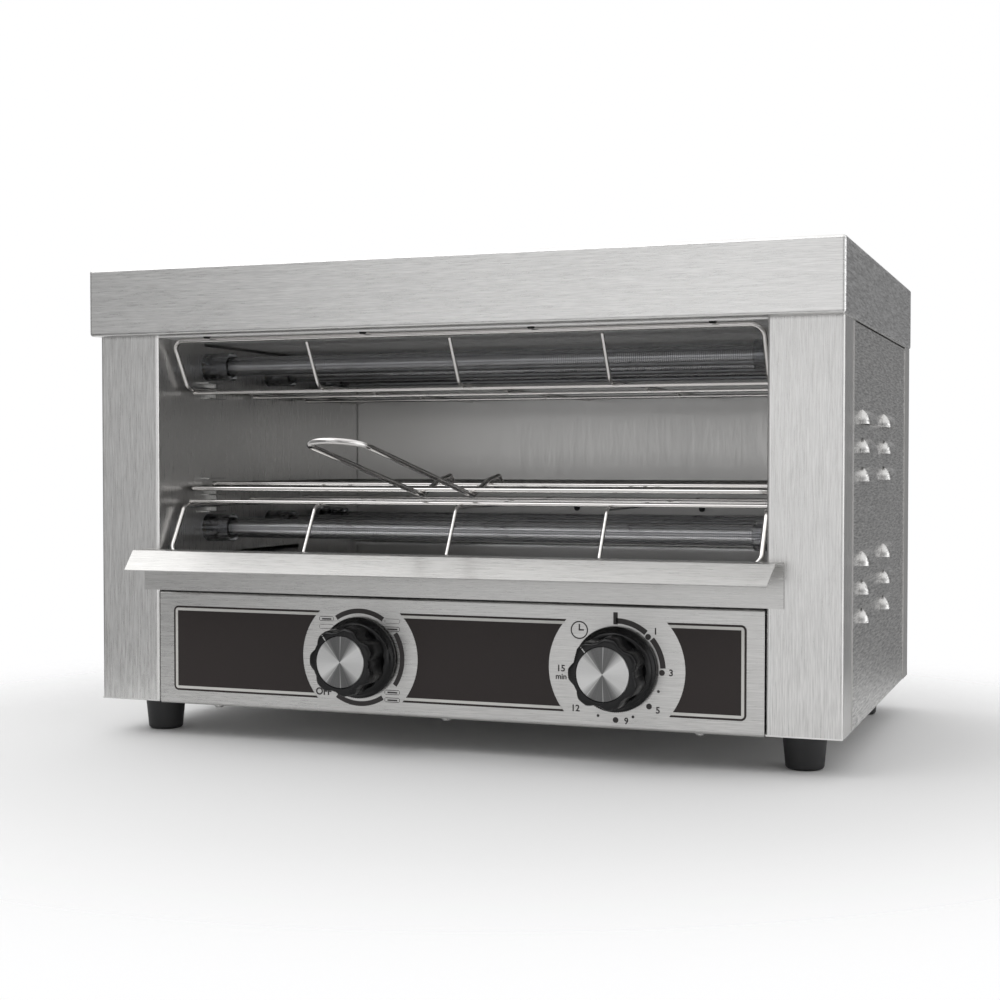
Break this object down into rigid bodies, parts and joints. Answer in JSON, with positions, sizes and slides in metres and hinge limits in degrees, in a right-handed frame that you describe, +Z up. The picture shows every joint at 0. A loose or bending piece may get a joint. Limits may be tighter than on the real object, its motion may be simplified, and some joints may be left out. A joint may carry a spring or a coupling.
{
  "type": "commercial toaster",
  "caption": "Counter-top quartz toaster with an open front, a sliding wire rack with a loop handle, wire guards, a crumb tray with a sloping lip, and lobed knobs.",
  "frame": {"origin": "middle of the bottom of the whole part, on the surface that the feet stand on", "axes": "+Z up, +X to the user's right, +Y to the back, so the open front faces -Y"},
  "size_m": [0.4576, 0.4205, 0.28],
  "materials": {
    "black_knob": "satin",
    "black_plastic": "matte",
    "black_rubber": "matte",
    "brass_bar": "satin",
    "brushed_steel": "brushed",
    "cream_plastic": "satin",
    "dark_ceramic": "matte",
    "dark_foil": "matte",
    "heating_wire": "satin",
    "lead_sleeve": "matte",
    "plated_steel": "satin",
    "polished_wire": "polished",
    "quartz": "polished",
    "shaft_steel": "satin",
    "spun_aluminium": "spun"
  },
  "bodies": {
    "housing": {"back_left_foot": "black_rubber", "back_panel": "brushed_steel", "back_right_foot": "black_rubber", "back_screws": "plated_steel", "base_plate": "brushed_steel", "cable_gland": "black_plastic", "cap_screws": "plated_steel", "ceiling_reflector": "brushed_steel", "ceiling_screws": "plated_steel", "control_foil": "dark_foil", "control_panel": "brushed_steel", "foot_nuts": "plated_steel", "foot_screws": "plated_steel", "front_left_foot": "black_rubber", "front_right_foot": "black_rubber", "gland_nut": "black_plastic", "holder_clips": "plated_steel", "lead_grommets": "black_rubber", "left_bus_bars": "brass_bar", "left_guide_lugs": "plated_steel", "left_side_frame": "brushed_steel", "left_side_panel": "brushed_steel", "left_tube_holders": "dark_ceramic", "left_tube_leads": "lead_sleeve", "lower_back_tube": "quartz", "lower_front_tube": "quartz", "lower_guard_frame": "polished_wire", "lower_guard_wires": "polished_wire", "lower_heating_coils": "heating_wire", "lower_middle_tube": "quartz", "panel_screws": "plated_steel", "right_bus_bars": "brass_bar", "right_guide_lugs": "plated_steel", "right_side_frame": "brushed_steel", "right_side_panel": "brushed_steel", "right_tube_holders": "dark_ceramic", "right_tube_leads": "lead_sleeve", "selector_switch": "black_plastic", "terminal_block": "cream_plastic", "timer": "black_plastic", "top_cap": "brushed_steel", "tray_shelf": "brushed_steel", "upper_back_tube": "quartz", "upper_front_tube": "quartz", "upper_guard_frame": "polished_wire", "upper_guard_wires": "polished_wire", "upper_heating_coils": "heating_wire", "upper_middle_tube": "quartz"},
    "tray": {"tray_front": "brushed_steel", "crumb_tray": "brushed_steel"},
    "rack": {"rack_frame": "polished_wire", "rack_wires": "polished_wire", "rack_handle": "polished_wire"},
    "selector": {"selector_knob": "black_knob", "selector_insert": "spun_aluminium", "selector_shaft": "shaft_steel"},
    "timer_control": {"timer_knob": "black_knob", "timer_insert": "spun_aluminium", "timer_shaft": "shaft_steel"}
  },
  "joints": [
    {"name": "tray_slide", "type": "slide", "parent": "housing", "child": "tray", "axis": [0, -1, 0], "range_m": [0, 0.25]},
    {"name": "rack_slide", "type": "slide", "parent": "housing", "child": "rack", "axis": [0, -1, 0], "range_m": [0, 0.19]},
    {"name": "selector_turn", "type": "hinge", "parent": "housing", "child": "selector", "pos_m": [-0.0508, -0.08215, 0.0529], "axis": [0, 1, 0], "range_deg": [0, 270]},
    {"name": "timer_turn", "type": "hinge", "parent": "housing", "child": "timer_control", "pos_m": [0.1018, -0.08215, 0.0529], "axis": [0, 1, 0], "range_deg": [0, 306]}
  ]
}
